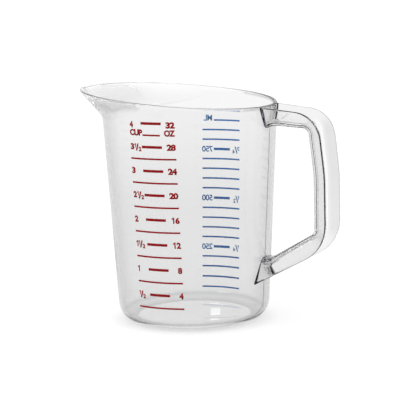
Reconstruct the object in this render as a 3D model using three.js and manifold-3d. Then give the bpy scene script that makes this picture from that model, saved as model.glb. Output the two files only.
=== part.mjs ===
// Clear plastic measuring jug of one US quart, with a broad pouring spout and a closed loop handle.
// Millimetres, +Z up. The origin is the centre of the foot, on the table. The spout points along -X
// and the handle along +X. The US scale is printed on the -Y side, the metric scale on the +Y side.

import * as THREE from 'three';
import Module from 'manifold-3d';

const wasm = await Module();
wasm.setup();

// Cup
const BASE_RADIUS = 47.8;       // outside radius of the tapered wall, carried down to the table
const WALL_TAPER = 0.0575;      // outward lean of the wall, run over rise
const WALL = 2.4;
const FLOOR = 3;
const FOOT_ROUND = 12;          // outside, from the foot to the wall
const FLOOR_ROUND = 8;          // inside, from the floor to the wall
const SIDES = 120;              // flats round the cup

// Lip
const LIP_HEIGHT = 142.9;       // of the lip beside the scales
const LIP_RAKE = 0.08;          // rise of the lip towards the spout, rise over run
const LIP_CREST = 68;           // distance from the axis where the lip stops rising

// Spout
const SPOUT_REACH = 17.2;       // of its two sides beyond the wall, at the middle
const SPOUT_SPREAD = 80.3;      // degrees from the middle to where straight sides would meet the wall
const SPOUT_BLEND = 0.24;       // share of that angle over which the sides run out into the wall
const SPOUT_DEPTH = 15.3;       // height of the spout under the lip, at the middle
const SPOUT_EASE = 4.5;         // reach at which the spout has about two thirds of its depth
const SPOUT_CREASE = 0.14;      // share of the spout's height that rounds the crease under it
const NOSE_REACH = 3.1;         // of the pouring nose beyond the sides
const NOSE_SPREAD = 13;         // degrees from the middle to the edge of the nose
const NOSE_DROOP = 1;           // of the nose under the lip
const PLAIN_RIM = 2;            // wall above which even the plain side of the lip starts

// Handle, an open channel with its floor on the finger side
const HANDLE_WIDTH = 28.8;       // across its two lips
const HANDLE_DRAFT = 2;         // lean of each side from the finger side out to the lip
const HANDLE_WALL = 2.4;
const HANDLE_FLOOR = 2.8;
const HANDLE_EDGE = 5;          // rounding of the two long edges that the fingers meet
const CHANNEL_ROUND = 3;        // inside, from the channel's floor to its walls
const HANDLE_DEPTH = 9.1;       // of the channel down the grip
const GRIP_OUT = 95.4;          // outer side of the grip from the cup's axis
const GRIP_BEND = 96.3;         // height where the grip leans in towards the top
const SHOULDER_IN = 4.2;        // how far the outer side leans in from the bend to the shoulder
const SHOULDER_Z = 134.2;       // height of the shoulder's corner
const ARM_RISE = 0.106;         // rise of the top arm towards the cup, rise over run
const ARM_DEPTH = 10;           // of the channel in the top arm
const ARM_FLARE = 0.044;        // how much less the finger side of the top arm rises
const HEEL_Z = 51.4;            // height of the heel's corner, outer side
const HEEL_RISE = 0.527;        // of the lower arm away from the cup, rise over run
const HEEL_DEPTH = 9;           // of the channel under the heel, measured upwards
const LOWER_FLARE = 0.06;       // how much steeper the finger side of the lower arm is
const SHOULDER_ROUND = 18.7;
const BEND_ROUND = 100;
const HEEL_ROUND = 25;
const FINGER_ROUND = 4.5;       // of the finger side's corners
const ROOT_RUN = 9;             // length of an arm over which its root spreads into the wall
const TOP_ROOT_DIP = 2.5;       // of the finger side under the top arm, at the wall
const LOWER_ROOT_DIP = 4;       // of the finger side above the lower arm, at the wall
const TOP_ROOT_SPREAD = 1.3;    // of each lip of the top arm, at the wall
const TOP_ROOT_DRAFT = 5;       // more lean of its sides there
const LOWER_ROOT_SPREAD = 0.4;  // of each lip of the lower arm, at the wall
const LOWER_ROOT_DRAFT = 7;     // more lean of its sides there
const ARC_STEPS = 6;
const EDGE_STEPS = 4;
const BEND_STEPS = 2;

// Printed scales
const INK = 0.15;               // thickness of a printed line
const INK_CLEAR = 0.05;         // between a line and the wall
const THIN_LINE = 1.05;
const BAR = 1.65;
const US_LONG = 15.5;           // half the length of a long US line
const US_BAR = 6.85;            // half the length of a US bar
const US_SHORT = 5.9;           // half the length of the US line between its unit words
const US_STEP = 2;              // ounces from line to line
const US_BAR_STEP = 4;          // ounces from bar to bar
const US_UNITS = 30;            // ounces at the line between the unit words
const US_AZIMUTH = -91.5;       // degrees, middle of the US scale
const US_ZERO = 7.35;           // height from which the US lines are counted
const US_SPACING = 8.31;        // between the lowest US lines
const US_CROWDING = 0.034;      // off the height, times the square of a line's number, as the cup widens
const METRIC_LONG = 14;
const METRIC_BAR = 6;
const METRIC_STEP = 50;         // millilitres from line to line
const METRIC_BAR_STEP = 250;    // millilitres from bar to bar
const METRIC_UNITS = 900;       // millilitres at the lowest line that leaves room for the unit word
const METRIC_AZIMUTH = 90.5;    // degrees, middle of the metric scale
const METRIC_ZERO = 2.6;        // height from which the metric lines are counted
const METRIC_SPACING = 6.84;    // between the lowest metric lines
const METRIC_CROWDING = 0.0135; // as for the US lines
const SCALE_MARGIN = 10;        // of plain wall at least, from the highest line up to the lip

// Fits
const JOIN_CLEAR = 0.3;         // between the handle's ends and the wall

const OVERRUN = 12;             // of the handle's blank and its cutting cone, past what they cut
const US_SIDE = THREE.MathUtils.degToRad(US_AZIMUTH);
const METRIC_SIDE = THREE.MathUtils.degToRad(METRIC_AZIMUTH);

const TAPER_ANGLE = Math.atan(WALL_TAPER);
const coneRadius = (z) => BASE_RADIUS + WALL_TAPER * z;
const insideRadius = (z) => coneRadius(z) - WALL / Math.cos(TAPER_ANGLE);

const clear_plastic = new THREE.MeshStandardMaterial({
  color: 0xe6ebec, roughness: 0.12, metalness: 0, transparent: true, opacity: 0.4,
});
const red_ink = new THREE.MeshStandardMaterial({ color: 0xa8101c, roughness: 0.5, metalness: 0 });
const blue_ink = new THREE.MeshStandardMaterial({ color: 0x1f6fae, roughness: 0.5, metalness: 0 });

// Shape of the spout, by the angle from its middle in degrees

function softRamp(x, blend) {
  if (x <= -blend) return 0;
  if (x >= blend) return x;
  return (x + blend) ** 2 / (4 * blend);
}

function noseShare(angle) {
  return angle < NOSE_SPREAD ? Math.cos(Math.PI / 2 * angle / NOSE_SPREAD) ** 2 : 0;
}

function spoutReach(angle) {
  return SPOUT_REACH * softRamp(1 - angle / SPOUT_SPREAD, SPOUT_BLEND) + NOSE_REACH * noseShare(angle);
}

function lipHeight(azimuth, angle) {
  const x = (coneRadius(LIP_HEIGHT) + spoutReach(angle)) * Math.cos(azimuth);
  return LIP_HEIGHT + LIP_RAKE * Math.min(-x, LIP_CREST) - NOSE_DROOP * noseShare(angle);
}

function spoutDepth(angle) {
  return SPOUT_DEPTH * (1 - Math.exp(-spoutReach(angle) / SPOUT_EASE)) + PLAIN_RIM;
}

// Share of the reach at share u of the spout's height: a rounded crease, then a straight slope
function slopeShare(u) {
  const rise = (v) => (v < 2 * SPOUT_CREASE ? v * v / (4 * SPOUT_CREASE) : v - SPOUT_CREASE);
  return rise(u) / rise(1);
}

// Outside of the wall at one azimuth, from the foot up to the lip, as [radius, height]
function outsideProfile(azimuth) {
  const angle = Math.abs(180 - THREE.MathUtils.radToDeg(azimuth));
  const centre = coneRadius(FOOT_ROUND) - FOOT_ROUND / Math.cos(TAPER_ANGLE);
  const profile = [];
  for (let i = 0; i <= ARC_STEPS; i++) {
    const turn = -Math.PI / 2 + (Math.PI / 2 - TAPER_ANGLE) * i / ARC_STEPS;
    profile.push([centre + FOOT_ROUND * Math.cos(turn), FOOT_ROUND + FOOT_ROUND * Math.sin(turn)]);
  }
  const slope = spoutReach(angle) / ((1 - SPOUT_CREASE) * spoutDepth(angle));
  const top = lipHeight(azimuth, angle) - WALL / 2 * (1 + slope / Math.hypot(1, slope));
  const bottom = top - spoutDepth(angle);
  for (const u of [0, SPOUT_CREASE, 2 * SPOUT_CREASE, 0.4, 0.7, 1]) {
    const z = bottom + (top - bottom) * u;
    profile.push([coneRadius(z) + spoutReach(angle) * slopeShare(u), z]);
  }
  return profile;
}

// Normal of a profile at a point, to the right of its direction of travel
function profileNormal(profile, i) {
  const before = profile[Math.max(i - 1, 0)];
  const after = profile[Math.min(i + 1, profile.length - 1)];
  const length = Math.hypot(after[0] - before[0], after[1] - before[1]);
  return [(after[1] - before[1]) / length, (before[0] - after[0]) / length];
}

// Whole section of the cup at one azimuth: up the outside, over the lip and down the inside
function cupSection(azimuth) {
  const outside = outsideProfile(azimuth);
  const last = outside.length - 1;
  const lip = outside[last];
  const normal = profileNormal(outside, last);
  const section = [...outside];
  for (const turn of [Math.PI / 4, Math.PI / 2, 3 * Math.PI / 4]) {
    const out = WALL / 2 * (Math.cos(turn) - 1);
    const up = WALL / 2 * Math.sin(turn);
    section.push([lip[0] + normal[0] * out - normal[1] * up, lip[1] + normal[1] * out + normal[0] * up]);
  }
  for (let i = last; i > ARC_STEPS; i--) {
    const inward = profileNormal(outside, i);
    section.push([outside[i][0] - WALL * inward[0], outside[i][1] - WALL * inward[1]]);
  }
  const centre = insideRadius(FLOOR + FLOOR_ROUND) - FLOOR_ROUND / Math.cos(TAPER_ANGLE);
  for (let i = ARC_STEPS; i >= 0; i--) {
    const turn = -Math.PI / 2 + (Math.PI / 2 - TAPER_ANGLE) * i / ARC_STEPS;
    const z = FLOOR + FLOOR_ROUND * (1 + Math.sin(turn));
    section.push([centre + FLOOR_ROUND * Math.cos(turn), z]);
  }
  return section;
}

function geometryOf(vertices, triangles) {
  const geometry = new THREE.BufferGeometry();
  geometry.setAttribute('position', new THREE.Float32BufferAttribute(vertices, 3));
  geometry.setIndex(triangles);
  geometry.computeVertexNormals();
  return geometry;
}

// Closed shape of revolution whose section may change with the azimuth
function turned(sectionAt, floorHeight, topHeight) {
  const vertices = [0, 0, floorHeight];
  const triangles = [];
  let rings = 0;
  for (let j = 0; j < SIDES; j++) {
    const azimuth = 2 * Math.PI * j / SIDES;
    const section = sectionAt(azimuth);
    rings = section.length;
    for (const [r, z] of section) vertices.push(r * Math.cos(azimuth), r * Math.sin(azimuth), z);
  }
  const apex = vertices.length / 3;
  vertices.push(0, 0, topHeight);
  const at = (k, j) => 1 + (j % SIDES) * rings + k;
  for (let j = 0; j < SIDES; j++) {
    triangles.push(0, at(0, j + 1), at(0, j));
    for (let k = 0; k < rings - 1; k++) {
      triangles.push(at(k, j), at(k, j + 1), at(k + 1, j + 1));
      triangles.push(at(k, j), at(k + 1, j + 1), at(k + 1, j));
    }
    triangles.push(at(rings - 1, j), at(rings - 1, j + 1), apex);
  }
  return geometryOf(vertices, triangles);
}

// Closed shape through a row of stations, each the same outline at another place
function swept(stations, cap) {
  const count = stations[0].length;
  const vertices = stations.flat().flatMap((point) => point.toArray());
  const triangles = [];
  for (let i = 0; i < stations.length - 1; i++) {
    for (let j = 0; j < count; j++) {
      const here = i * count;
      const next = here + count;
      const k = (j + 1) % count;
      triangles.push(here + j, here + k, next + k, here + j, next + k, next + j);
    }
  }
  const end = (stations.length - 1) * count;
  for (const [a, b, c] of cap) triangles.push(a, c, b, end + a, end + b, end + c);
  return geometryOf(vertices, triangles);
}

function solidOf(geometry) {
  return new wasm.Manifold(new wasm.Mesh({
    numProp: 3,
    vertProperties: new Float32Array(geometry.attributes.position.array),
    triVerts: new Uint32Array(geometry.index.array),
  }));
}

function geometryFrom(solid) {
  const mesh = solid.getMesh();
  return geometryOf(Array.from(mesh.vertProperties), Array.from(mesh.triVerts));
}

// Handle

// Straight runs joined by arcs. Each corner is [x, y, rounding, steps]
function roundedPath(corners) {
  const path = [new THREE.Vector2(...corners[0])];
  for (let i = 1; i < corners.length - 1; i++) {
    const [x, y, round, steps] = corners[i];
    const corner = new THREE.Vector2(x, y);
    const back = new THREE.Vector2(...corners[i - 1]).sub(corner).normalize();
    const ahead = new THREE.Vector2(...corners[i + 1]).sub(corner).normalize();
    const half = Math.acos(THREE.MathUtils.clamp(back.dot(ahead), -1, 1)) / 2;
    const centre = back.clone().add(ahead).normalize().multiplyScalar(round / Math.sin(half)).add(corner);
    const start = back.clone().multiplyScalar(round / Math.tan(half)).add(corner);
    const sweep = -Math.sign(back.cross(ahead)) * (Math.PI - 2 * half);
    for (let k = 0; k <= steps; k++) path.push(start.clone().rotateAround(centre, sweep * k / steps));
  }
  path.push(new THREE.Vector2(...corners[corners.length - 1]));
  return path;
}

const ROOT_X = coneRadius(0) - OVERRUN;
const SHOULDER_X = GRIP_OUT - SHOULDER_IN;
const FINGER_OUT = GRIP_OUT - HANDLE_DEPTH;
const LEAN = SHOULDER_IN / (SHOULDER_Z - GRIP_BEND);
const FINGER_TOP_Z = SHOULDER_Z - ARM_DEPTH + ARM_RISE * HANDLE_DEPTH;
const FINGER_TOP_X = FINGER_OUT - LEAN * (FINGER_TOP_Z - GRIP_BEND);
const FINGER_HEEL_Z = HEEL_Z + HEEL_DEPTH;
const LOWER_ROOT_Z = HEEL_Z - HEEL_RISE * (GRIP_OUT - BASE_RADIUS);

const outerPath = roundedPath([
  [ROOT_X, SHOULDER_Z + ARM_RISE * (SHOULDER_X - ROOT_X)],
  [SHOULDER_X, SHOULDER_Z, SHOULDER_ROUND, ARC_STEPS],
  [GRIP_OUT, GRIP_BEND, BEND_ROUND, BEND_STEPS],
  [GRIP_OUT, HEEL_Z, HEEL_ROUND, ARC_STEPS],
  [ROOT_X, HEEL_Z - HEEL_RISE * (GRIP_OUT - ROOT_X)],
]);
const fingerPath = roundedPath([
  [ROOT_X, FINGER_TOP_Z + (ARM_RISE - ARM_FLARE) * (FINGER_TOP_X - ROOT_X)],
  [FINGER_TOP_X, FINGER_TOP_Z, FINGER_ROUND, ARC_STEPS],
  [FINGER_OUT, GRIP_BEND, BEND_ROUND - HANDLE_DEPTH, BEND_STEPS],
  [FINGER_OUT, FINGER_HEEL_Z, FINGER_ROUND, ARC_STEPS],
  [ROOT_X, FINGER_HEEL_Z - (HEEL_RISE + LOWER_FLARE) * (FINGER_OUT - ROOT_X)],
]);

// Outline of the channel as [side, depth], the depth counted from the finger side
function channelOutline(lipHalf, draft, depth) {
  const floorHalf = lipHalf - draft;
  const wall = HANDLE_WALL * Math.hypot(draft, depth) / depth;
  const outside = roundedPath([[0, 0], [floorHalf, 0, HANDLE_EDGE, EDGE_STEPS], [lipHalf, depth]]).slice(1);
  const innerHalf = floorHalf + draft * HANDLE_FLOOR / depth - wall;
  const inside = roundedPath([
    [0, HANDLE_FLOOR],
    [innerHalf, HANDLE_FLOOR, CHANNEL_ROUND, EDGE_STEPS],
    [lipHalf - wall, depth],
  ]).slice(1);
  const right = [...outside, ...inside.reverse()];
  const left = right.map((point) => new THREE.Vector2(-point.x, point.y)).reverse();
  return [...right, ...left];
}

function section(outer, finger, lipHalf, draft) {
  const depth = outer.distanceTo(finger);
  const way = outer.clone().sub(finger).divideScalar(depth);
  return channelOutline(lipHalf, draft, depth).map((point) => (
    new THREE.Vector3(finger.x + way.x * point.y, point.x, finger.y + way.y * point.y)
  ));
}

// Sections of an arm's root, from inside the wall to where the arm is plain
function rootSections(outer, finger, wallX, dip, spread, draft) {
  const along = ([start, end], x) => start.clone().lerp(end, (x - start.x) / (end.x - start.x));
  return [-OVERRUN / ROOT_RUN, 0, 0.2, 0.4, 0.7, 1].map((place) => {
    const x = wallX + place * ROOT_RUN;
    const share = (1 - Math.max(place, 0)) ** 2;
    const low = along(finger, x);
    low.y += dip * share;
    return section(along(outer, x), low, HANDLE_WIDTH / 2 + spread * share, HANDLE_DRAFT + draft * share);
  });
}

function handleGeometry() {
  const half = HANDLE_WIDTH / 2;
  const topRoot = rootSections(outerPath.slice(0, 2), fingerPath.slice(0, 2), coneRadius(FINGER_TOP_Z),
    -TOP_ROOT_DIP, TOP_ROOT_SPREAD, TOP_ROOT_DRAFT);
  const grip = outerPath.slice(1, -1).map((outer, i) => (
    section(outer, fingerPath[i + 1], half, HANDLE_DRAFT)
  ));
  const lowerRoot = rootSections(outerPath.slice(-2).reverse(), fingerPath.slice(-2).reverse(),
    coneRadius(LOWER_ROOT_Z), LOWER_ROOT_DIP, LOWER_ROOT_SPREAD, LOWER_ROOT_DRAFT);
  const cap = THREE.ShapeUtils.triangulateShape(channelOutline(half, HANDLE_DRAFT, HANDLE_DEPTH), []);
  const blank = solidOf(swept([...topRoot, ...grip, ...lowerRoot.reverse()], cap));
  const low = -OVERRUN;
  const high = LIP_HEIGHT + OVERRUN;
  const coneSection = () => [low, high].map((z) => [coneRadius(z) + JOIN_CLEAR, z]);
  return geometryFrom(blank.subtract(solidOf(turned(coneSection, low, high))));
}

// Printed scales

// Radius on the flat sides of a cone whose edges have this radius
function flatRadius(edge, azimuth) {
  const flat = 2 * Math.PI / SIDES;
  const middle = (Math.floor(azimuth / flat) + 0.5) * flat;
  return edge * Math.cos(flat / 2) / Math.cos(azimuth - middle);
}

// A printed line round the wall, between two distances to the side of its scale's middle
function markGeometry(side, height, from, to, thickness) {
  const flat = 2 * Math.PI / SIDES;
  const radius = coneRadius(height);
  const start = side + from / radius;
  const end = side + to / radius;
  const azimuths = [start];
  for (let k = Math.ceil(start / flat); k * flat < end; k++) {
    if (k * flat > start) azimuths.push(k * flat);
  }
  azimuths.push(end);
  const stations = azimuths.map((azimuth) => {
    const outline = [[1, 1], [1, -1], [0, -1], [0, 1]];
    return outline.map(([out, up]) => {
      const z = height + up * thickness / 2;
      const r = flatRadius(coneRadius(z) + INK_CLEAR + out * INK, azimuth);
      return new THREE.Vector3(r * Math.cos(azimuth), r * Math.sin(azimuth), z);
    });
  });
  return swept(stations, [[0, 1, 2], [0, 2, 3]]);
}

const jug = new THREE.Group();

function add(name, geometry, material) {
  const mesh = new THREE.Mesh(geometry, material);
  mesh.name = name;
  jug.add(mesh);
}

add('vessel', turned(cupSection, 0, FLOOR), clear_plastic);
add('handle', handleGeometry(), clear_plastic);

// The lines of a scale that fit on the wall, lowest first, each as its volume and height
function printedLines(step, zero, spacing, crowding) {
  const lines = [];
  const heightOf = (n) => zero + spacing * n - crowding * n ** 2;
  for (let n = 1; heightOf(n) < LIP_HEIGHT - SCALE_MARGIN; n++) lines.push([n * step, heightOf(n)]);
  return lines;
}

// Thin lines and bars in turn, and a short line between the unit words
for (const [ounces, height] of printedLines(US_STEP, US_ZERO, US_SPACING, US_CROWDING)) {
  const bar = ounces % US_BAR_STEP === 0;
  const half = bar ? US_BAR : (ounces === US_UNITS ? US_SHORT : US_LONG);
  const name = `us_mark_${String(ounces).padStart(2, '0')}oz`;
  add(name, markGeometry(US_SIDE, height, -half, half, bar ? BAR : THIN_LINE), red_ink);
}

// Thin lines with bars every quarter litre, and shorter lines beside the unit word
for (const [volume, height] of printedLines(METRIC_STEP, METRIC_ZERO, METRIC_SPACING, METRIC_CROWDING)) {
  const bar = volume % METRIC_BAR_STEP === 0;
  const left = bar ? METRIC_BAR : METRIC_LONG;
  const right = bar || volume >= METRIC_UNITS ? METRIC_BAR : METRIC_LONG;
  const name = `metric_mark_${String(volume).padStart(3, '0')}ml`;
  add(name, markGeometry(METRIC_SIDE, height, -left, right, bar ? BAR : THIN_LINE), blue_ink);
}

export default jug;
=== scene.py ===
"""Clear plastic measuring jug of one US quart: the looks of every piece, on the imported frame."""

import math

import bpy
from bpy.props import FloatProperty, FloatVectorProperty, IntProperty, PointerProperty
from mathutils import Matrix, Vector
from mathutils.kdtree import KDTree


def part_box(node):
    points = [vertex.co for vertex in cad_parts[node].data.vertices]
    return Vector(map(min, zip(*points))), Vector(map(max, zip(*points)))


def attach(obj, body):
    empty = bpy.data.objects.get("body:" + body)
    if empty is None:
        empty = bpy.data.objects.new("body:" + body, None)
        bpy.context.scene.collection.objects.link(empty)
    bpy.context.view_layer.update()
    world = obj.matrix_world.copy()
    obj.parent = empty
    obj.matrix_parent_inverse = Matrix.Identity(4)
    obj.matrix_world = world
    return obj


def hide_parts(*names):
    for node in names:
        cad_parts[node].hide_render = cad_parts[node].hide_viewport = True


bl_info = {
    "name": "Measuring Jug",
    "version": (1, 0, 0),
    "blender": (4, 5, 0),
    "location": "3D View > Sidebar > Measuring Jug",
    "description": "Models a clear plastic measuring jug with printed scales, and its photo stage",
    "category": "Object",
}

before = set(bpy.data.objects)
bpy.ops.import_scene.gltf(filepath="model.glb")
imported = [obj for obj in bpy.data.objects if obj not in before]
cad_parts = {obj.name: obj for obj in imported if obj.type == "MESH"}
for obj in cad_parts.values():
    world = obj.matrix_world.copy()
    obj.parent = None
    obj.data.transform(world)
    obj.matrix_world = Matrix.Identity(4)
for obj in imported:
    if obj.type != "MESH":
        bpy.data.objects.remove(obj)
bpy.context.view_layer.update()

MM = 0.001
MERGE_DISTANCE = 0.01 * MM


# Sizes and colours


def length(name, description, default):
    return FloatProperty(name=name, description=description, default=default * MM, unit="LENGTH")


def share(name, description, default):
    return FloatProperty(name=name, description=description, default=default)


def angle(name, description, default):
    return FloatProperty(name=name, description=description, default=math.radians(default), subtype="ANGLE")


def colour(name, description, default):
    return FloatVectorProperty(name=name, description=description, default=default, subtype="COLOR",
                               size=3, min=0, max=1)


class CupSizes(bpy.types.PropertyGroup):
    """The cup with its foot, wall, lip and spout"""
    base_radius: length("Base radius", "Outside radius of the tapered wall, carried down to the table", 47.8)
    taper: share("Taper", "Outward lean of the wall, run over rise", 0.0575)
    wall: length("Wall", "Thickness of the wall", 2.4)
    floor: length("Floor", "Thickness of the floor", 3)
    foot_round: length("Foot round", "Rounding outside, from the foot to the wall", 12)
    floor_round: length("Floor round", "Rounding inside, from the floor to the wall", 8)
    lip_height: length("Lip height", "Height of the lip beside the scales", 142.9)
    lip_rake: share("Lip rake", "Rise of the lip towards the spout, rise over run", 0.08)
    lip_crest: length("Lip crest", "Distance from the axis where the lip stops rising", 68)
    spout_reach: length("Spout reach", "Reach of the spout's sides beyond the wall, at the middle", 17.2)
    spout_spread: angle("Spout spread", "Turn from the middle to where straight sides would meet the wall",
                        80.3)
    spout_blend: share("Spout blend", "Share of that turn over which the sides run out into the wall", 0.24)
    spout_depth: length("Spout depth", "Height of the spout under the lip, at the middle", 15.3)
    spout_ease: length("Spout ease", "Reach at which the spout has about two thirds of its depth", 4.5)
    spout_crease: share("Spout crease", "Share of the spout's height that rounds the crease under it", 0.14)
    nose_reach: length("Nose reach", "Reach of the pouring nose beyond the sides", 3.1)
    nose_spread: angle("Nose spread", "Turn from the middle to the edge of the nose", 13)
    nose_droop: length("Nose droop", "How far the nose hangs under the lip", 1)
    plain_rim: length("Plain rim", "Wall above which the plain side of the lip starts", 2)
    sides: IntProperty(name="Sides", description="Flats round the cup", default=288)
    arc_steps: IntProperty(name="Arc steps", description="Flats in each rounding of the section", default=14)


class HandleSizes(bpy.types.PropertyGroup):
    """The loop handle, an open channel with its floor on the finger side"""
    width: length("Width", "Across the two lips", 28.8)
    draft: length("Draft", "Lean of each side from the finger side out to the lip", 2)
    wall: length("Wall", "Thickness of the channel's sides", 2.4)
    floor: length("Floor", "Thickness of the channel's floor", 2.8)
    edge: length("Edge", "Rounding of the two long edges that the fingers meet", 5)
    channel_round: length("Channel round", "Rounding inside, from the channel's floor to its sides", 3)
    lip_round: length("Lip round", "Rounding of the edges of the two lips", 0.9)
    depth: length("Depth", "Depth of the channel down the grip", 9.1)
    grip_out: length("Grip distance", "From the cup's axis to the outer side of the grip", 95.4)
    grip_bend: length("Grip bend", "Height where the grip leans in towards the top", 96.3)
    shoulder_in: length("Shoulder in", "How far the outer side leans in from the bend to the shoulder", 4.2)
    shoulder_z: length("Shoulder height", "Height of the shoulder's corner", 134.2)
    arm_rise: share("Arm rise", "Rise of the top arm towards the cup, rise over run", 0.106)
    arm_depth: length("Arm depth", "Depth of the channel in the top arm", 10)
    arm_flare: share("Arm flare", "How much less the finger side of the top arm rises", 0.044)
    heel_z: length("Heel height", "Height of the heel's corner, outer side", 51.4)
    heel_rise: share("Heel rise", "Rise of the lower arm away from the cup, rise over run", 0.527)
    heel_depth: length("Heel depth", "Depth of the channel under the heel, measured upwards", 9)
    lower_flare: share("Lower flare", "How much steeper the finger side of the lower arm is", 0.06)
    shoulder_round: length("Shoulder round", "Rounding of the shoulder", 18.7)
    bend_round: length("Bend round", "Rounding where the grip leans in", 100)
    heel_round: length("Heel round", "Rounding of the heel", 25)
    finger_round: length("Finger round", "Rounding of the finger side's corners", 4.5)
    root_run: length("Root run", "Length of an arm over which its root spreads into the wall", 9)
    top_root_dip: length("Top root dip", "Dip of the finger side under the top arm, at the wall", 2.5)
    lower_root_dip: length("Lower root dip", "Rise of the finger side above the lower arm, at the wall", 4)
    top_root_spread: length("Top root spread", "Spread of each lip of the top arm, at the wall", 1.3)
    top_root_draft: length("Top root draft", "More lean of the top arm's sides, at the wall", 5)
    lower_root_spread: length("Lower root spread", "Spread of each lip of the lower arm, at the wall", 0.4)
    lower_root_draft: length("Lower root draft", "More lean of the lower arm's sides, at the wall", 7)
    clearance: length("Join clearance", "Between the handle's ends and the wall", 0.3)
    arc_steps: IntProperty(name="Arc steps", description="Flats along each bend of the handle", default=20)
    bend_steps: IntProperty(name="Bend steps", description="Flats along the grip's slight bend", default=16)
    edge_steps: IntProperty(name="Edge steps", description="Flats round each edge of the channel", default=12)


class PrintSizes(bpy.types.PropertyGroup):
    """The figures and unit words of both scales"""
    ink: length("Ink", "Thickness of the printed ink", 0.1)
    lift: length("Lift", "Between the ink and the wall", 0.06)
    figure_height: length("Figure height", "Height of the whole figures and unit words", 4)
    us_weight: share("US weight", "How much bolder than plain the US figures are, in their own height", 0.055)
    metric_weight: share("Metric weight", "How much bolder than plain the metric figures are", 0.025)
    us_azimuth: angle("US azimuth", "Middle of the US scale", -91.5)
    metric_azimuth: angle("Metric azimuth", "Middle of the metric scale", 90.5)
    grain_scale: FloatProperty(name="Grain scale", description="Fineness of the ink's grain", default=900)
    grain_lift: share("Grain lift", "How many times brighter the ink is where its grain is thin", 1.2)
    smoothest: share("Smoothest", "Roughness of the ink where its grain is least", 0.4)
    grain_roughness: share("Grain roughness", "Roughness that the grain adds", 0.2)
    shine: share("Shine", "Strength of the ink's mirror light", 0.15)
    glow_reach: length("Glow reach", "How far light spreads in the ink", 0.3)
    red: colour("Red", "Ink of the US scale", (0.39, 0.003, 0.006))
    blue: colour("Blue", "Ink of the metric scale", (0, 0.31, 0.93))


class PlasticFinish(bpy.types.PropertyGroup):
    """The clear plastic"""
    # Painted shade: the wall's tint is partly the plastic's own slight grey and partly shade painted in,
    # darker than clear plastic looks against these white surroundings; towards the lip it is painted lighter
    clarity: share("Clarity", "Share of light that the cup's wall lets through", 0.86)
    lip_clarity: share("Lip clarity", "The same, at the height of the lip", 0.925)
    # Painted shade: a dark band in the tint round the foot's rounding
    ring_loss: share("Ring loss", "Loss in the ring round the foot that bends light the most", 0.32)
    # Painted shadow: the foot is tinted darker where it meets the table
    contact_loss: share("Contact loss", "Loss where the foot meets the table", 0.12)
    # Painted shade: the crease under the spout and the slope just above it are tinted darker
    crease_loss: share("Crease loss", "Loss in the crease under the spout", 0.4)
    slope_loss: share("Slope loss", "Loss just above that crease", 0.3)
    # Painted shade: a dark line along the crest of the lip
    crest_loss: share("Crest loss", "Loss along the crest of the lip", 0.5)
    # Painted shade: the tint darkens where the cup's wall is seen almost edge on, read from Layer Weight's
    # facing value
    edge_loss: share("Edge loss", "Loss where the cup's wall is seen almost edge on", 0.5)
    edge_from: share("Edge from", "Facing value where that edge starts, 1 is edge on", 0.3)
    edge_to: share("Edge to", "Facing value where that edge is darkest", 0.8)
    # Painted shade: a dark line painted beside that edge on the handle's side, at a set facing value
    line_loss: share("Line loss", "Loss in the dark line beside the edge, on the handle's side", 0.8)
    line_place: share("Line place", "Facing value of that line", 0.62)
    line_spread: share("Line spread", "Facing value from the middle of that line to either end", 0.025)
    line_side: length("Line side", "Way from the axis to the handle's side over which it sets in", 30)
    # Painted shade: the sides of the grip and of the arms are tinted darker than the finger side, which is
    # left clear
    side_clarity: share("Side clarity", "Share of light that the sides of the grip let through", 0.76)
    arm_clarity: share("Arm clarity", "The same, in the sides of the two arms", 0.89)
    grip_clarity: share("Grip clarity", "The same, in the finger side of the handle", 1)
    rim_softness: share("Rim softness", "How far the lip lets light straight through", 0.4)
    spout_softness: share("Spout softness", "The same, round the spout", 0.7)
    crest_softness: share("Crest softness", "Share of that softness along the crest of the lip", 0)
    finger_softness: share("Finger softness", "The same, along the finger edges of the grip", 0)
    arm_softness: share("Arm softness", "The same, along the finger edges of the arms", 0.3)
    weld: colour("Weld", "Tint of the joint between handle and wall", (0.002, 0.001, 0.008))
    weld_from: share("Weld from", "Value where the joint's tint starts to show", 0.1)
    weld_to: share("Weld to", "Value where the joint's tint is full", 0.6)
    weld_inset: length("Weld inset", "Width of that joint on the handle's ends", 0.5)
    depth_tint: colour("Depth tint", "Tint that builds up in thick plastic", (0.45, 0.46, 0.47))
    density: FloatProperty(name="Density", description="How fast the depth tint builds up, per metre",
                           default=5)
    mirror_tint: colour("Mirror tint", "Strength of what the surface mirrors where it faces the eye",
                        (0.3, 0.3, 0.3))
    ior: share("Index", "Index of refraction", 1.585)
    roughness: share("Roughness", "Roughness of the polished surface", 0)


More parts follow.
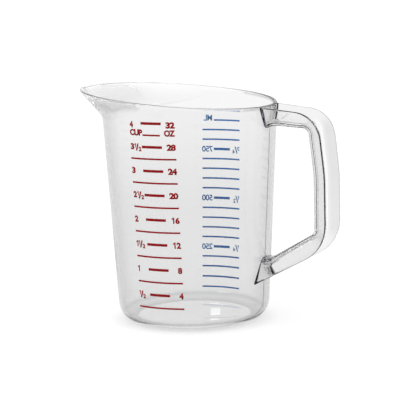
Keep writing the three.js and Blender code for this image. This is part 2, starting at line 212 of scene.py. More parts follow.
class StageSizes(bpy.types.PropertyGroup):
    """The camera, floor, lamps and surroundings"""
    camera_distance: length("Camera distance", "From the camera to what it looks at", 1136)
    camera_azimuth: angle("Camera azimuth", "Turn of the camera from the US scale towards the handle", 23.6)
    camera_elevation: angle("Camera elevation", "Height angle of the camera", 9.4693)
    camera_roll: angle("Camera roll", "Lean of the camera", -1.3405)
    camera_aside: length("Camera aside", "Sideways place of what the camera looks at", 11.4493)
    camera_aim: length("Camera aim", "Height of what the camera looks at", 69.3357)
    lens: FloatProperty(name="Lens", description="Focal length of the camera in millimetres", default=152.171)
    floor_radius: length("Floor radius", "Radius of the pale floor", 20000)
    floor_colour: colour("Floor colour", "The pale floor", (0.36, 0.36, 0.36))
    floor_glow: share("Floor glow", "White that the camera sees in the floor", 0.75)
    floor_shine: share("Floor shine", "White that the plastic shows of the floor", 0.7)
    contact_reach: length("Contact reach", "Reach of the dark contact shadow", 10)
    contact_shade: share("Contact shade", "Strength of the contact shadow", 0.2)
    world_light: share("World light", "Light that the surroundings throw on the jug and the floor", 0.85)
    overhead: share("Overhead", "Brightness overhead, as seen in the plastic", 0.6)
    dim_from: share("Dim from", "Sine of the height angle where the surroundings start to dim", 0.15)
    dim_to: share("Dim to", "Sine of the height angle where they are dimmest", 0.6)


# Mesh helpers


def deselect():
    if bpy.context.object and bpy.context.object.mode != "OBJECT":
        bpy.ops.object.mode_set(mode="OBJECT")
    bpy.ops.object.select_all(action="DESELECT")


def make_active(piece):
    deselect()
    piece.select_set(True)
    bpy.context.view_layer.objects.active = piece


def wire(name, points, edges):
    """An object of bare edges, to be shaped in edit mode."""
    mesh = bpy.data.meshes.new(name)
    mesh.from_pydata(points, edges, [])
    piece = bpy.data.objects.new(name, mesh)
    bpy.context.collection.objects.link(piece)
    make_active(piece)
    return piece


def tone(piece, name, values):
    """A value for each point of a piece, for its material to read."""
    piece.data.attributes.new(name, "FLOAT", "POINT").data.foreach_set("value", values)


def smooth(piece, sharp_angle):
    make_active(piece)
    bpy.ops.object.shade_smooth_by_angle(angle=sharp_angle)


def rounded_path(corners):
    """Straight runs joined by arcs. Each corner is (x, y, rounding, steps)."""
    path = [Vector(corners[0][:2])]
    for before, (x, y, rounding, steps), after in zip(corners, corners[1:-1], corners[2:]):
        corner = Vector((x, y))
        back = (Vector(before[:2]) - corner).normalized()
        ahead = (Vector(after[:2]) - corner).normalized()
        half = back.angle(ahead) / 2
        centre = corner + (back + ahead).normalized() * (rounding / math.sin(half))
        start = corner + back * (rounding / math.tan(half)) - centre
        sweep = -math.copysign(math.pi - 2 * half, back.cross(ahead))
        path += [centre + Matrix.Rotation(sweep * k / steps, 2) @ start for k in range(steps + 1)]
    path.append(Vector(corners[-1][:2]))
    return path


# Shape of the cup


def bump(x, middle, width):
    return math.exp(-((x - middle) / width) ** 2)


def soft_ramp(x, blend):
    if x <= -blend:
        return 0
    if x >= blend:
        return x
    return (x + blend) ** 2 / (4 * blend)


class CupShape:
    """The cup's section at any azimuth, worked out from its sizes."""

    # Rows of points: shares of the wall's height below the spout, and steps of the crease and of the slope
    WALL_ROWS = (0.25, 0.5, 0.75, 0.92)
    SPOUT_STEPS = 6

    # Height at which the wall's tint starts to lighten towards the lip, and the height over which it
    # lightens; that lightening is painted light
    CLEARING = (70 * MM, 60 * MM)

    # Middle and spread of each tone: in shares of the foot's rounding, in rows of the spout, and in shares
    # of the way over the lip. The last one is a spread in rows down from the lip.
    # Painted shade: dark band round the foot
    RING = (0.62, 0.09)
    # Painted shadow where the foot meets the table
    CONTACT = (0.1, 0.08)
    # Painted shade in the crease under the spout and on the slope above it
    CREASE = (3, 1)
    SLOPE = (7, 2)
    # Painted shade: dark line along the lip's crest
    CREST = (0.5, 0.15)
    HARD_CREST = (0.5, 0.2)
    SOFT_ROWS = 3.5

    # How soon the spout's softness sets in, as a power of its reach
    SPOUT_ONSET = 0.4

    # Distance of the underside's inner row from the start of the foot's rounding
    FLAT_MARGIN = 2 * MM

    def __init__(self, sizes):
        self.sizes = sizes
        self.lean = math.atan(sizes.taper)

    def radius(self, z):
        return self.sizes.base_radius + self.sizes.taper * z

    def nose_share(self, turn):
        spread = self.sizes.nose_spread
        return math.cos(math.pi / 2 * turn / spread) ** 2 if turn < spread else 0

    def reach(self, turn):
        s = self.sizes
        return (s.spout_reach * soft_ramp(1 - turn / s.spout_spread, s.spout_blend)
                + s.nose_reach * self.nose_share(turn))

    def lip(self, azimuth, turn):
        s = self.sizes
        x = (self.radius(s.lip_height) + self.reach(turn)) * math.cos(azimuth)
        return s.lip_height + s.lip_rake * min(-x, s.lip_crest) - s.nose_droop * self.nose_share(turn)

    def depth(self, turn):
        s = self.sizes
        return s.spout_depth * (1 - math.exp(-self.reach(turn) / s.spout_ease)) + s.plain_rim

    def slope_share(self, u):
        """Share of the reach at share u of the spout's height: a rounded crease, then a straight slope."""
        crease = self.sizes.spout_crease

        def rise(v):
            return v * v / (4 * crease) if v < 2 * crease else v - crease

        return rise(u) / rise(1)

    def arc(self, rounding, centre_radius, low):
        """A quarter round from level to the wall's lean, as (radius, height)."""
        steps = self.sizes.arc_steps
        turns = [-math.pi / 2 + (math.pi / 2 - self.lean) * i / steps for i in range(steps + 1)]
        return [Vector((centre_radius + rounding * math.cos(t), low + rounding * (1 + math.sin(t))))
                for t in turns]

    def outside(self, azimuth):
        s = self.sizes
        turn = abs(math.pi - azimuth % (2 * math.pi))
        centre = self.radius(s.foot_round) - s.foot_round / math.cos(self.lean)
        profile = self.arc(s.foot_round, centre, 0)
        slope = self.reach(turn) / ((1 - s.spout_crease) * self.depth(turn))
        top = self.lip(azimuth, turn) - s.wall / 2 * (1 + slope / math.hypot(1, slope))
        bottom = top - self.depth(turn)
        foot_top = profile[-1].y
        for u in self.WALL_ROWS:
            z = foot_top + (bottom - foot_top) * u
            profile.append(Vector((self.radius(z), z)))
        steps = self.SPOUT_STEPS
        crease_end = 2 * s.spout_crease
        crease = [crease_end * k / steps for k in range(steps + 1)]
        slope_rows = [crease_end + (1 - crease_end) * k / steps for k in range(1, steps + 1)]
        for u in crease + slope_rows:
            z = bottom + (top - bottom) * u
            profile.append(Vector((self.radius(z) + self.reach(turn) * self.slope_share(u), z)))
        return profile

    def tones(self, finish, azimuth):
        """The plastic's tint with its painted shade, the softness and the outer edge, at each point of the
        section.
        """
        s = self.sizes
        turn = abs(math.pi - azimuth % (2 * math.pi))
        spout = min(self.reach(turn) / s.spout_reach, 1)
        steps = s.arc_steps
        spout_rows = 2 * self.SPOUT_STEPS + 1
        foot_row = 2
        crease_row = foot_row + steps + 1 + len(self.WALL_ROWS)
        lip_row = crease_row + spout_rows - 1
        clear_from, clear_over = self.CLEARING
        tones = []
        for i, point in enumerate(self.section(azimuth)):
            # Painted shade and light: the tint darkens the whole wall and is painted lighter towards the lip
            height = min(max((point.y - clear_from) / clear_over, 0), 1)
            clarity = finish.clarity + (finish.lip_clarity - finish.clarity) * height
            foot = (i - foot_row) / steps
            crease = i - crease_row
            rim = (i - lip_row) / steps
            if foot <= 1:
                # Painted shade: a dark band round the foot's rounding
                clarity *= 1 - finish.ring_loss * bump(foot, *self.RING)
                # Painted shadow: darker where the foot meets the table
                clarity *= 1 - finish.contact_loss * bump(foot, *self.CONTACT)
            elif 0 <= crease < spout_rows:
                # Painted shade in the crease under the spout and on the slope above it
                clarity *= 1 - spout * finish.crease_loss * bump(crease, *self.CREASE)
                clarity *= 1 - spout ** 2 * finish.slope_loss * bump(crease, *self.SLOPE)
            onset = spout ** self.SPOUT_ONSET
            softness = finish.rim_softness + (finish.spout_softness - finish.rim_softness) * onset
            if 0 <= rim <= 1:
                softness *= 1 - (1 - finish.crest_softness) * bump(rim, *self.HARD_CREST)
                # Painted shade: a dark line along the lip's crest
                clarity *= 1 - finish.crest_loss * bump(rim, *self.CREST)
            else:
                rows_down = lip_row - i if rim < 0 else i - lip_row - steps
                softness *= bump(rows_down, 0, self.SOFT_ROWS)
            tones.append((clarity, softness, 1 if foot_row < i <= lip_row else 0))
        return tones

    def section(self, azimuth):
        """Up the outside, over the lip and down the inside, from the axis to the axis."""
        s = self.sizes
        outside = self.outside(azimuth)
        normals = []
        for i in range(len(outside)):
            along = outside[min(i + 1, len(outside) - 1)] - outside[max(i - 1, 0)]
            normals.append(Vector((along.y, -along.x)).normalized())
        section = [Vector((0, 0)), Vector((outside[0].x - self.FLAT_MARGIN, 0))] + outside
        out = normals[-1]
        up = Vector((-out.y, out.x))
        steps = s.arc_steps
        half_wall = s.wall / 2
        for k in range(1, steps):
            t = math.pi * k / steps
            over = up * (half_wall * math.sin(t))
            section.append(outside[-1] + out * (half_wall * (math.cos(t) - 1)) + over)
        for point, normal in zip(outside[:s.arc_steps + 1:-1], normals[:s.arc_steps + 1:-1]):
            section.append(point - normal * s.wall)
        inside = self.radius(s.floor + s.floor_round) - s.wall / math.cos(self.lean)
        section += self.arc(s.floor_round, inside - s.floor_round / math.cos(self.lean), s.floor)[::-1]
        section.append(Vector((0, s.floor)))
        return section


# Shape of the handle


class HandleShape:
    """The channel's stations along the handle, worked out from its sizes and the cup's."""

    # Where the arms' straight runs start, inside the cup's base radius
    ROOT_DEPTH = 12 * MM

    # Stations of a root, in shares of its run out from the wall, and how many of them the trimming replaces
    ROOT_PLACES = (-1.2, 0, 0.1, 0.2, 0.3, 0.4, 0.55, 0.7, 0.85, 1)
    TRIMMED = 4

    # Flats round each edge of the two lips
    LIP_STEPS = 3

    # How late the tint goes back from the sides' painted shade to the finger side's on the way into the
    # channel's rounding, as a power
    LATE = 4

    def __init__(self, sizes, cup):
        self.sizes = s = sizes
        self.cup = cup
        n = s.arc_steps
        root = cup.sizes.base_radius - self.ROOT_DEPTH
        shoulder = s.grip_out - s.shoulder_in
        finger = s.grip_out - s.depth
        lean = s.shoulder_in / (s.shoulder_z - s.grip_bend)
        self.top_z = top_z = s.shoulder_z - s.arm_depth + s.arm_rise * s.depth
        top_x = finger - lean * (top_z - s.grip_bend)
        heel = s.heel_z + s.heel_depth
        self.lower_z = s.heel_z - s.heel_rise * (s.grip_out - cup.sizes.base_radius)
        self.outer = rounded_path([
            (root, s.shoulder_z + s.arm_rise * (shoulder - root)),
            (shoulder, s.shoulder_z, s.shoulder_round, n),
            (s.grip_out, s.grip_bend, s.bend_round, s.bend_steps),
            (s.grip_out, s.heel_z, s.heel_round, n),
            (root, s.heel_z - s.heel_rise * (s.grip_out - root)),
        ])
        self.finger = rounded_path([
            (root, top_z + (s.arm_rise - s.arm_flare) * (top_x - root)),
            (top_x, top_z, s.finger_round, n),
            (finger, s.grip_bend, s.bend_round - s.depth, s.bend_steps),
            (finger, heel, s.finger_round, n),
            (root, heel - (s.heel_rise + s.lower_flare) * (finger - root)),
        ])

    def outline(self, lip_half, draft, depth):
        """Outline of the channel as (side, depth), the depth counted from the finger side."""
        s = self.sizes
        floor_half = lip_half - draft
        wall = s.wall * math.hypot(draft, depth) / depth
        inner_half = floor_half + draft * s.floor / depth - wall
        right = rounded_path([
            (0, 0),
            (floor_half, 0, s.edge, s.edge_steps),
            (lip_half, depth, s.lip_round, self.LIP_STEPS),
            (lip_half - wall, depth, s.lip_round, self.LIP_STEPS),
            (inner_half, s.floor, s.channel_round, s.edge_steps),
            (0, s.floor),
        ])
        left = [Vector((-p.x, p.y)) for p in right[1:-1]]
        return right + left[::-1]

    def tones(self, finish, station):
        """The tint with its painted shade and the softness of the plastic at each point of a station."""
        s = self.sizes
        count = len(station) // 2 + 1
        way = (station[count - 1] - station[0]).normalized()
        grip = way.x ** 2
        # Painted shade: darker tints for the sides of the grip and of the arms
        side = finish.arm_clarity + (finish.side_clarity - finish.arm_clarity) * grip
        softness = finish.arm_softness + (finish.finger_softness - finish.arm_softness) * grip
        edge = [k / s.edge_steps for k in range(s.edge_steps + 1)]
        change = side - finish.grip_clarity
        right = [(finish.grip_clarity, 0)]
        right += [(finish.grip_clarity + change * part, softness * math.sin(math.pi * part))
                  for part in edge]
        right += [(side, 0)] * 2 * (self.LIP_STEPS + 1)
        right += [(side - change * part ** self.LATE, 0) for part in edge]
        right.append((finish.grip_clarity, 0))
        return right + right[1:-1][::-1]

    def station(self, outer, finger, lip_half, draft):
        depth = (outer - finger).length
        way = (outer - finger) / depth
        return [Vector((finger.x + way.x * p.y, p.x, finger.y + way.y * p.y))
                for p in self.outline(lip_half, draft, depth)]

    def root(self, outer, finger, wall_x, dip, spread, draft):
        """Stations of an arm's root, from inside the wall to where the arm is plain."""
        s = self.sizes
        stations = []
        for place in self.ROOT_PLACES:
            x = wall_x + place * s.root_run
            part = (1 - max(place, 0)) ** 2
            high, low = [start.lerp(end, (x - start.x) / (end.x - start.x)) for start, end in (outer, finger)]
            low.y += dip * part
            stations.append(self.station(high, low, s.width / 2 + spread * part, s.draft + draft * part))
        return self.trimmed(stations)

    def trimmed(self, stations):
        """The stations with the first ones moved out to the cup's wall, so that the root ends on it."""
        def outside(point):
            return math.hypot(point.x, point.y) - self.cup.radius(point.z) - self.sizes.clearance

        ends = []
        for points in zip(*stations):
            near = next(i for i, p in enumerate(points) if outside(p) > 0)
            a, b = points[near - 1], points[near]
            ends.append(a.lerp(b, outside(a) / (outside(a) - outside(b))))
        plain = stations[self.TRIMMED:]
        middle = [end.lerp(point, 0.5) for end, point in zip(ends, plain[0])]
        return [ends, middle] + plain

    def stations(self):
        s = self.sizes
        top = self.root((self.outer[0], self.outer[1]), (self.finger[0], self.finger[1]),
                        self.cup.radius(self.top_z), -s.top_root_dip, s.top_root_spread, s.top_root_draft)
        lower = self.root((self.outer[-1], self.outer[-2]), (self.finger[-1], self.finger[-2]),
                          self.cup.radius(self.lower_z), s.lower_root_dip, s.lower_root_spread,
                          s.lower_root_draft)
        grip = [self.station(outer, finger, s.width / 2, s.draft)
                for outer, finger in zip(self.outer[1:-1], self.finger[1:-1])]
        return top + grip + lower[::-1]


# Shader helpers


class Socket:
    """A node's output, with the arithmetic that the finishes use."""

    def __init__(self, finish, socket):
        self.finish = finish
        self.socket = socket

    def math(self, operation, *values):
        return self.finish.node("ShaderNodeMath", {"operation": operation}, dict(enumerate(values)))

    def __add__(self, other):
        return self.math("ADD", self, other)

    def __mul__(self, other):
        return self.math("MULTIPLY", self, other)

    def __rsub__(self, other):
        return self.math("SUBTRACT", other, self)

    __radd__ = __add__
    __rmul__ = __mul__


class Finish:
    """A material or world under construction."""

    def __init__(self, tree):
        self.tree = tree
        tree.nodes.clear()

    def node(self, kind, settings=None, values=None, output=0):
        made = self.tree.nodes.new(kind)
        for name, value in (settings or {}).items():
            setattr(made, name, value)
        for name, value in (values or {}).items():
            if isinstance(value, Socket):
                self.tree.links.new(value.socket, made.inputs[name])
            else:
                made.inputs[name].default_value = value
        return Socket(self, made.outputs[output])

    def mix(self, factor, a, b):
        return self.node("ShaderNodeMix", {"data_type": "RGBA"}, {0: factor, 6: a, 7: b}, 2)

    def ramp(self, value, start, end):
        return self.node("ShaderNodeMapRange", {"interpolation_type": "SMOOTHSTEP"}, {
            "Value": value, "From Min": start, "From Max": end})

    def rays(self):
        """Whether a ray comes from the camera, and whether it was reflected or bent by the plastic."""
        camera, glossy, through = [self.node("ShaderNodeLightPath", output=name)
                                   for name in ("Is Camera Ray", "Is Glossy Ray", "Is Transmission Ray")]
        return camera, glossy.math("MAXIMUM", glossy, through)

    def output(self, kind, **values):
        made = self.tree.nodes.new(kind)
        for name, value in values.items():
            self.tree.links.new(value.socket, made.inputs[name])


def material(name):
    made = bpy.data.materials.new(name)
    made.use_nodes = True
    return made, Finish(made.node_tree)


def rgba(values):
    return (*values, 1)


def clear_plastic():
    if "polycarbonate" in bpy.data.materials:
        return bpy.data.materials["polycarbonate"]
    sizes = bpy.context.scene.jug_plastic
    made, finish = material("polycarbonate")
    place = finish.node("ShaderNodeTexCoord", output="Object")
    clarity, softness, outer, weld = [
        finish.node("ShaderNodeAttribute", {"attribute_name": name}, output="Fac")
        for name in ("clarity", "softness", "outer_wall", "weld")]
    facing = finish.node("ShaderNodeLayerWeight", values={"Blend": 0.5}, output="Facing")
    # Painted shade: darker tint where the cup's wall is seen almost edge on
    edge = finish.ramp(facing, sizes.edge_from, sizes.edge_to) * outer * sizes.edge_loss
    # Painted shade: a dark line at a set facing value, beside the edge on the handle's side
    middle, spread = sizes.line_place, sizes.line_spread
    line = finish.ramp(facing, middle - spread, middle) * (1 - finish.ramp(facing, middle, middle + spread))
    side = finish.node("ShaderNodeSeparateXYZ", values={"Vector": place}, output="X")
    line = line * outer * finish.ramp(side, 0, sizes.line_side) * sizes.line_loss
    joint = finish.ramp(weld, sizes.weld_from, sizes.weld_to)
    # The tint is the plastic's grey with its painted shade, painted edge shade and painted dark line, with
    # the weld's dark joint mixed over it
    tint = finish.mix(joint, clarity * (1 - edge) * (1 - line), rgba(sizes.weld))
    surface = finish.node("ShaderNodeBsdfPrincipled", values={
        "Base Color": tint, "Roughness": sizes.roughness, "IOR": sizes.ior, "Transmission Weight": 1,
        "Specular Tint": rgba(sizes.mirror_tint), "Alpha": 1 - softness})
    body = finish.node("ShaderNodeVolumeAbsorption", values={
        "Color": rgba(sizes.depth_tint), "Density": sizes.density})
    finish.output("ShaderNodeOutputMaterial", Surface=surface, Volume=body)
    return made


def ink(name, shade):
    if name in bpy.data.materials:
        return bpy.data.materials[name]
    sizes = bpy.context.scene.jug_print
    made, finish = material(name)
    place = finish.node("ShaderNodeTexCoord", output="Object")
    grain = finish.node("ShaderNodeTexNoise", values={
        "Vector": place, "Scale": sizes.grain_scale, "Detail": 3})
    thin = finish.mix(grain, rgba(shade), rgba([min(1, v * sizes.grain_lift) for v in shade]))
    surface = finish.node("ShaderNodeBsdfPrincipled", values={
        "Base Color": thin, "Roughness": sizes.smoothest + sizes.grain_roughness * grain,
        "Specular IOR Level": sizes.shine, "Subsurface Weight": 1, "Subsurface Radius": (1, 1, 1),
        "Subsurface Scale": sizes.glow_reach})
    finish.output("ShaderNodeOutputMaterial", Surface=surface)
    return made


def finish_piece(piece, made):
    piece.data.materials.clear()
    piece.data.materials.append(made)
    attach(piece, "root")


# Printed figures


LETTER_SPACING = 0.92
CURVE_STEPS = 6

# A bold 1 with a slanted flag, in shares of its box, and the faces between its points
ONE_OUTLINE = ((0.52, 0), (1, 0), (1, 1), (0.62, 1), (0, 0.8), (0, 0.62), (0.52, 0.72))
ONE_FACES = ((0, 1, 6), (1, 2, 3, 6), (3, 4, 5, 6))

# Shares of a number's width that its leading 1 and the gap after it take
ONE_SHARE = 0.34
ONE_GAP = 0.12

# Sizes of a fraction: its figures' widths and heights, and the steps from one to the next
TOP_ONE_WIDTH = 1.2 * MM
TOP_WIDTH = 1.9 * MM
TOP_HEIGHT = 2.6 * MM
STROKE_OVERLAP = 0.2 * MM
STROKE_WIDTH = 2.4 * MM
STROKE_DROP = 0.5 * MM
BOTTOM_STEP = 2.2 * MM
BOTTOM_WIDTH = 2 * MM
BOTTOM_RISE = 2 * MM
BOTTOM_DROP = 0.8 * MM


def word(text, left, right, low, high, weight):
    """A word as a flat mesh that fills the box from left to right and from low to high, on the ground."""
    deselect()
    bpy.ops.object.text_add()
    piece = bpy.context.object
    piece.data.body = text
    piece.data.offset = weight
    piece.data.space_character = LETTER_SPACING
    piece.data.resolution_u = CURVE_STEPS
    bpy.ops.object.convert(target="MESH")
    piece = bpy.context.object
    xs = [v.co.x for v in piece.data.vertices]
    ys = [v.co.y for v in piece.data.vertices]
    for vertex in piece.data.vertices:
        x, y, _ = vertex.co
        vertex.co.x = left + (x - min(xs)) / (max(xs) - min(xs)) * (right - left)
        vertex.co.y = low + (y - min(ys)) / (max(ys) - min(ys)) * (high - low)
    return piece


def figure_one(left, right, low, high):
    """The bold 1 as a flat mesh on the ground."""
    mesh = bpy.data.meshes.new("one")
    points = [(left + x * (right - left), low + y * (high - low), 0) for x, y in ONE_OUTLINE]
    mesh.from_pydata(points, [], ONE_FACES)
    piece = bpy.data.objects.new("one", mesh)
    bpy.context.collection.objects.link(piece)
    return piece


def figures(text, left, right, low, high, weight):
    """A number or word, with a 1 of its own shape."""
    if not text.startswith("1"):
        return [word(text, left, right, low, high, weight)]
    if text == "1":
        return [figure_one(left, right, low, high)]
    one = left + (right - left) * ONE_SHARE
    gap = (right - left) * ONE_GAP
    return [figure_one(left, one, low, high), word(text[1:], one + gap, right, low, high, weight)]


def wrap(piece, side, cup, lift, thickness):
    """Lays a flat mesh on the cup's wall, and gives it the ink's thickness."""
    for vertex in piece.data.vertices:
        s, z, _ = vertex.co
        turn = side + s / cup.radius(z)
        r = cup.radius(z) + lift
        vertex.co = (r * math.cos(turn), r * math.sin(turn), z)
    make_active(piece)
    bpy.ops.object.modifier_add(type="SOLIDIFY")
    piece.modifiers[-1].thickness = thickness
    piece.modifiers[-1].offset = 1
    bpy.ops.object.modifier_apply(modifier=piece.modifiers[-1].name)


def joined(pieces, name):
    deselect()
    for piece in pieces:
        piece.select_set(True)
    bpy.context.view_layer.objects.active = pieces[0]
    bpy.ops.object.join()
    piece = bpy.context.object
    piece.name = piece.data.name = name
    return piece


def fraction(top, bottom, left, low, high):
    """A small fraction with a slanted stroke: its two figures and the stroke, as boxes."""
    wide = TOP_ONE_WIDTH if top == "1" else TOP_WIDTH
    stroke = left + wide - STROKE_OVERLAP
    under = stroke + BOTTOM_STEP
    return [
        (top, left, left + wide, high - TOP_HEIGHT, high),
        ("/", stroke, stroke + STROKE_WIDTH, low - STROKE_DROP, high),
        (bottom, under, under + BOTTOM_WIDTH, low - BOTTOM_DROP, low + BOTTOM_RISE),
    ]


def mark_height(node):
    low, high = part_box(node)
    return (low.z + high.z) / 2


# Operators


class JUG_OT_cup(bpy.types.Operator):
    """Spin the cup's section round its axis and pull out its spout"""
    bl_idname = "jug.cup"
    bl_label = "Cup"

    def execute(self, context):
        sizes = context.scene.jug_cup
        shape = CupShape(sizes)
        section = shape.section(0)
        points = [(p.x, 0, p.y) for p in section]
        cup = wire("cup", points, [(i, i + 1) for i in range(len(points) - 1)])
        cup.data.attributes.new("ring", "INT", "POINT").data.foreach_set("value", range(len(points)))
        bpy.ops.object.mode_set(mode="EDIT")
        bpy.ops.mesh.select_all(action="SELECT")
        bpy.ops.mesh.spin(steps=sizes.sides, angle=2 * math.pi, center=(0, 0, 0), axis=(0, 0, 1))
        bpy.ops.mesh.select_all(action="SELECT")
        bpy.ops.mesh.remove_doubles(threshold=MERGE_DISTANCE)
        bpy.ops.mesh.normals_make_consistent(inside=False)
        bpy.ops.object.mode_set(mode="OBJECT")
        sections = {}
        tones = []
        rings = [value.value for value in cup.data.attributes["ring"].data]
        for vertex, ring in zip(cup.data.vertices, rings):
            azimuth = round(math.atan2(vertex.co.y, vertex.co.x), 5)
            if azimuth not in sections:
                sections[azimuth] = shape.section(azimuth), shape.tones(context.scene.jug_plastic, azimuth)
            r, z = sections[azimuth][0][ring]
            vertex.co = (r * math.cos(azimuth), r * math.sin(azimuth), z)
            tones.append(sections[azimuth][1][ring])
        cup.data.attributes.remove(cup.data.attributes["ring"])
        for name, values in zip(("clarity", "softness", "outer_wall"), zip(*tones)):
            tone(cup, name, values)
        smooth(cup, sharp_angle=math.radians(40))
        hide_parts("vessel")
        finish_piece(cup, clear_plastic())
        return {"FINISHED"}


class JUG_OT_handle(bpy.types.Operator):
    """Bridge the channel's stations into the loop handle"""
    bl_idname = "jug.handle"
    bl_label = "Handle"

    def execute(self, context):
        finish = context.scene.jug_plastic
        shape = HandleShape(context.scene.jug_handle, CupShape(context.scene.jug_cup))
        stations = shape.stations()
        count = len(stations[0])
        points = [p for station in stations for p in station]
        edges = [(i * count + k, i * count + (k + 1) % count)
                 for i in range(len(stations)) for k in range(count)]
        handle = wire("loop_handle", points, edges)
        bpy.ops.object.mode_set(mode="EDIT")
        bpy.ops.mesh.select_mode(type="EDGE")
        bpy.ops.mesh.select_all(action="SELECT")
        bpy.ops.mesh.bridge_edge_loops()
        bpy.ops.mesh.select_all(action="DESELECT")
        bpy.ops.mesh.select_non_manifold(extend=False, use_wire=False, use_boundary=True,
                                         use_multi_face=False, use_non_contiguous=False, use_verts=False)
        bpy.ops.mesh.fill(use_beauty=True)
        bpy.ops.mesh.inset(thickness=finish.weld_inset)
        bpy.ops.mesh.select_all(action="SELECT")
        bpy.ops.mesh.normals_make_consistent(inside=False)
        bpy.ops.object.mode_set(mode="OBJECT")
        known = KDTree(len(points))
        tones = []
        for i, station in enumerate(stations):
            weld = 1 if i in (0, len(stations) - 1) else 0
            for point, values in zip(station, shape.tones(finish, station)):
                known.insert(point, len(tones))
                tones.append((*values, weld))
        known.balance()
        tones.append((finish.arm_clarity, 0, 0))
        found = [known.find(vertex.co) for vertex in handle.data.vertices]
        found = [tones[index if distance < MERGE_DISTANCE else -1] for _, index, distance in found]
        for name, values in zip(("clarity", "softness", "weld"), zip(*found)):
            tone(handle, name, values)
        smooth(handle, sharp_angle=math.radians(50))
        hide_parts("handle")
        finish_piece(handle, clear_plastic())
        return {"FINISHED"}


class JUG_OT_lines(bpy.types.Operator):
    """Give the printed lines of both scales their inks"""
    bl_idname = "jug.lines"
    bl_label = "Printed lines"

    def execute(self, context):
        sizes = context.scene.jug_print
        for name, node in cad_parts.items():
            if name.startswith("us_mark"):
                node.material_slots[0].material = ink("printed_red", sizes.red)
            elif name.startswith("metric_mark"):
                node.material_slots[0].material = ink("printed_blue", sizes.blue)
        return {"FINISHED"}


class JUG_OT_us_figures(bpy.types.Operator):
    """Print the cups and ounces beside the US lines"""
    bl_idname = "jug.us_figures"
    bl_label = "US figures"

    # The column's half width, and the widths of its figures
    EDGE = 15.5 * MM
    DIGIT = 2.75 * MM
    ONE_DIGIT = 1.6 * MM
    TEENS = 5 * MM
    TWO_DIGITS = 5.7 * MM
    GAP = 0.2 * MM

    # How far the top figures and the unit words hang under their lines, and where the words end and start
    TOP_DROP = 0.9 * MM
    UNIT_DROP = 0.5 * MM
    CUP_END = -6 * MM
    OZ_START = 8.6 * MM
    OZ_DROP = 0.1 * MM

    def execute(self, context):
        sizes = context.scene.jug_print
        cup = CupShape(context.scene.jug_cup)
        tall = sizes.figure_height
        boxes = []
        for ounces in range(4, 33, 4):
            drop = self.TOP_DROP if ounces == 32 else 0
            low = mark_height(f"us_mark_{ounces:02d}oz") - tall / 2 - drop
            text = str(ounces)
            wide = self.TEENS if text[0] == "1" else self.TWO_DIGITS
            if len(text) == 1:
                wide = self.DIGIT
            boxes.append((text, self.EDGE - wide, self.EDGE, low, low + tall))
            whole, half = divmod(ounces, 8)
            left = -self.EDGE
            if whole:
                wide = self.ONE_DIGIT if whole == 1 else self.DIGIT
                boxes.append((str(whole), left, left + wide, low, low + tall))
                left += wide + self.GAP
            if half:
                boxes += fraction("1", "2", left, low, low + tall)
        low = mark_height("us_mark_30oz") - self.UNIT_DROP
        boxes.append(("CUP", -self.EDGE, self.CUP_END, low, low + tall))
        low -= self.OZ_DROP
        boxes.append(("OZ", self.OZ_START, self.EDGE, low, low + tall))
        printed = joined([piece for box in boxes for piece in figures(*box, sizes.us_weight)], "us_figures")
        wrap(printed, sizes.us_azimuth, cup, sizes.lift, sizes.ink)
        finish_piece(printed, ink("printed_red", sizes.red))
        return {"FINISHED"}


class JUG_OT_metric_figures(bpy.types.Operator):
    """Print the millilitres and parts of a litre beside the metric lines"""
    bl_idname = "jug.metric_figures"
    bl_label = "Metric figures"

    # Where the numbers, the fractions and the unit start and end across the scale
    NUMBER = (6.9 * MM, 14.3 * MM)
    FRACTION_START = -14 * MM
    UNIT = (7.2 * MM, 13.2 * MM)
    UNIT_DROP = 0.5 * MM

    def execute(self, context):
        sizes = context.scene.jug_print
        cup = CupShape(context.scene.jug_cup)
        tall = sizes.figure_height
        boxes = []
        for volume, top, bottom in ((750, "3", "4"), (500, "1", "2"), (250, "1", "4")):
            low = mark_height(f"metric_mark_{volume:03d}ml") - tall / 2
            boxes.append((str(volume), *self.NUMBER, low, low + tall))
            boxes += fraction(top, bottom, self.FRACTION_START, low, low + tall)
        low = mark_height("metric_mark_900ml") - self.UNIT_DROP
        boxes.append(("ML", *self.UNIT, low, low + tall))
        printed = joined([piece for box in boxes for piece in figures(*box, sizes.metric_weight)],
                         "metric_figures")
        wrap(printed, sizes.metric_azimuth, cup, sizes.lift, sizes.ink)
        finish_piece(printed, ink("printed_blue", sizes.blue))
        return {"FINISHED"}


SENSOR_WIDTH = 36
JUG_MIDDLE = (0, 0, 0.07)

# Each lamp's name, size, place, aim and power. The cup's floor mirrors the last one as a small window.
LAMPS = (
    ("key_lamp", (0.5, 0.5), (-0.9, -1.1, 1.5), JUG_MIDDLE, 5),
    ("fill_lamp", (0.4, 0.4), (1.4, -0.4, 1.1), JUG_MIDDLE, 2),
    ("window_lamp", (0.021, 0.04), (-0.561, 1.353, 0.333), (0.0165, 0.0088, 0.003), 0.0029),
)


def lamp(name, size, place, aim, power):
    deselect()
    bpy.ops.object.light_add(type="AREA", location=place)
    made = bpy.context.object
    made.name = name
    made.data.shape = "RECTANGLE"
    made.data.size, made.data.size_y = size
    made.data.energy = power
    made.rotation_euler = (Vector(aim) - Vector(place)).to_track_quat("-Z", "Y").to_euler()


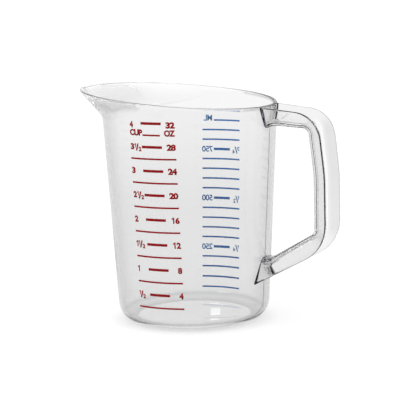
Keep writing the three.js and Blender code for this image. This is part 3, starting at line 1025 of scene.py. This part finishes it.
class JUG_OT_stage(bpy.types.Operator):
    """Set up the camera, the pale floor, the lamps and the white surroundings"""
    bl_idname = "jug.stage"
    bl_label = "Stage"

    def execute(self, context):
        scene = context.scene
        stage = scene.jug_stage
        scene.view_settings.view_transform = "Standard"
        self.add_camera(scene, stage)
        self.add_floor(stage)
        self.add_world(scene, stage)
        for values in LAMPS:
            lamp(*values)
        return {"FINISHED"}

    def add_camera(self, scene, stage):
        around, height, roll = stage.camera_azimuth, stage.camera_elevation, stage.camera_roll
        aim = Vector((stage.camera_aside * math.cos(around), stage.camera_aside * math.sin(around),
                      stage.camera_aim))
        back = Vector((math.sin(around) * math.cos(height), -math.cos(around) * math.cos(height),
                       math.sin(height)))
        right = Vector((0, 0, 1)).cross(back).normalized()
        up = back.cross(right)
        turned = Matrix((right * math.cos(roll) + up * math.sin(roll),
                         up * math.cos(roll) - right * math.sin(roll), back)).transposed()
        deselect()
        bpy.ops.object.camera_add()
        camera = bpy.context.object
        camera.name = "photo_camera"
        camera.matrix_world = Matrix.Translation(aim + back * stage.camera_distance) @ turned.to_4x4()
        camera.data.sensor_width = SENSOR_WIDTH
        camera.data.lens = stage.lens
        camera.data.clip_start = 0.01
        camera.data.clip_end = 100
        scene.camera = camera

    def add_floor(self, stage):
        deselect()
        bpy.ops.mesh.primitive_circle_add(vertices=96, radius=stage.floor_radius, fill_type="NGON")
        floor = bpy.context.object
        floor.name = "floor"
        made, finish = material("pale_floor")
        camera, seen = finish.rays()
        near = finish.node("ShaderNodeAmbientOcclusion", {"samples": 8}, {"Distance": stage.contact_reach},
                           "AO")
        open_share = 1 - (1 - near) * stage.contact_shade
        glow = camera * stage.floor_glow * open_share + seen * stage.floor_shine
        surface = finish.node("ShaderNodeBsdfPrincipled", values={
            "Base Color": rgba(stage.floor_colour), "Roughness": 0.6, "Specular IOR Level": 0,
            "Emission Color": (1, 1, 1, 1), "Emission Strength": glow})
        finish.output("ShaderNodeOutputMaterial", Surface=surface)
        floor.data.materials.append(made)

    def add_world(self, scene, stage):
        """White all round, and dimmer overhead for what the plastic reflects and bends."""
        scene.world = bpy.data.worlds.new("surroundings")
        scene.world.use_nodes = True
        finish = Finish(scene.world.node_tree)
        camera, seen = finish.rays()
        way = finish.node("ShaderNodeTexCoord", output="Generated")
        height = finish.node("ShaderNodeSeparateXYZ", values={"Vector": way}, output="Z")
        overhead = finish.node("ShaderNodeMapRange", {"interpolation_type": "SMOOTHSTEP"}, {
            "Value": height, "From Min": stage.dim_from, "From Max": stage.dim_to, "To Min": 1,
            "To Max": stage.overhead})
        light = seen * overhead + (1 - seen) * stage.world_light
        backdrop = finish.node("ShaderNodeBackground", values={
            "Color": (1, 1, 1, 1), "Strength": camera.math("MAXIMUM", camera, light)})
        finish.output("ShaderNodeOutputWorld", Surface=backdrop)


class JUG_PT_panel(bpy.types.Panel):
    """The jug's pieces, in the order in which they are made"""
    bl_idname = "JUG_PT_panel"
    bl_label = "Measuring Jug"
    bl_space_type = "VIEW_3D"
    bl_region_type = "UI"
    bl_category = "Measuring Jug"

    def draw(self, context):
        for operator in PIECES:
            self.layout.operator(operator.bl_idname)


PIECES = (JUG_OT_cup, JUG_OT_handle, JUG_OT_lines, JUG_OT_us_figures, JUG_OT_metric_figures, JUG_OT_stage)
GROUPS = {
    "jug_cup": CupSizes,
    "jug_handle": HandleSizes,
    "jug_print": PrintSizes,
    "jug_plastic": PlasticFinish,
    "jug_stage": StageSizes,
}
CLASSES = (*GROUPS.values(), *PIECES, JUG_PT_panel)


def register():
    for made in CLASSES:
        bpy.utils.register_class(made)
    for name, group in GROUPS.items():
        setattr(bpy.types.Scene, name, PointerProperty(type=group))


def unregister():
    for name in GROUPS:
        delattr(bpy.types.Scene, name)
    for made in reversed(CLASSES):
        bpy.utils.unregister_class(made)


def main():
    register()
    for operator in PIECES:
        group, name = operator.bl_idname.split(".")
        getattr(getattr(bpy.ops, group), name)()


if __name__ == "__main__":
    main()
